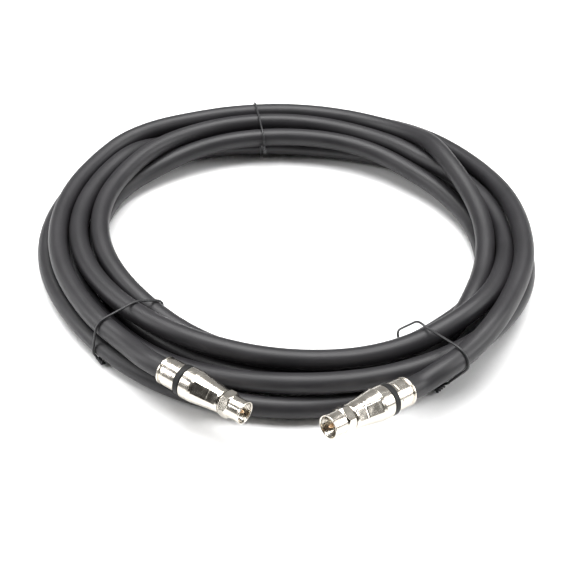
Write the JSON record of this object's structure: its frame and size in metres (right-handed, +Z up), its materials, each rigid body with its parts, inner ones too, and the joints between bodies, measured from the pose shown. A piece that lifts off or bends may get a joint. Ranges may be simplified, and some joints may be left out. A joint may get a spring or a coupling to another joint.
{
  "type": "coaxial cable coil",
  "caption": "Coil of stiff round black coaxial cable, held by wire ties, with a nickel-plated screw-on connector on each end.",
  "frame": {"origin": "middle of the bounding box's footprint, on the floor that the coil lies on", "axes": "+Z up, through the coil's bore; -Y towards the front, where both connectors lie; +X to the right"},
  "size_m": [0.2696, 0.292, 0.0385],
  "materials": {
    "jacket": "satin black flexible PVC cable jacket",
    "nickel": "bright nickel plate, slightly warm",
    "black_plastic": "matte black moulded plastic",
    "pin_metal": "bright contact metal",
    "tie_coat": "satin black plastic coat over soft wire"
  },
  "bodies": {
    "coil": {"cable_coil": "jacket", "left_cable_end": "jacket", "right_cable_end": "jacket", "left_compression_sleeve": "nickel", "left_band": "black_plastic", "left_connector_body": "nickel", "left_centre_pin": "pin_metal", "right_compression_sleeve": "nickel", "right_band": "black_plastic", "right_connector_body": "nickel", "right_centre_pin": "pin_metal", "left_tie": "tie_coat", "back_tie": "tie_coat", "right_tie": "tie_coat"},
    "left_nut": {"left_swivel_nut": "nickel"},
    "right_nut": {"right_swivel_nut": "nickel"}
  },
  "joints": [
    {"name": "left_nut_spin", "type": "hinge", "parent": "coil", "child": "left_nut", "pos_m": [-0.02164, -0.11955, 0.0213], "axis": [0.8087, -0.5876, 0.0262], "continuous": true},
    {"name": "right_nut_spin", "type": "hinge", "parent": "coil", "child": "right_nut", "pos_m": [0.02416, -0.13761, 0.03195], "axis": [-0.7687, -0.6115, 0.1874], "continuous": true}
  ]
}
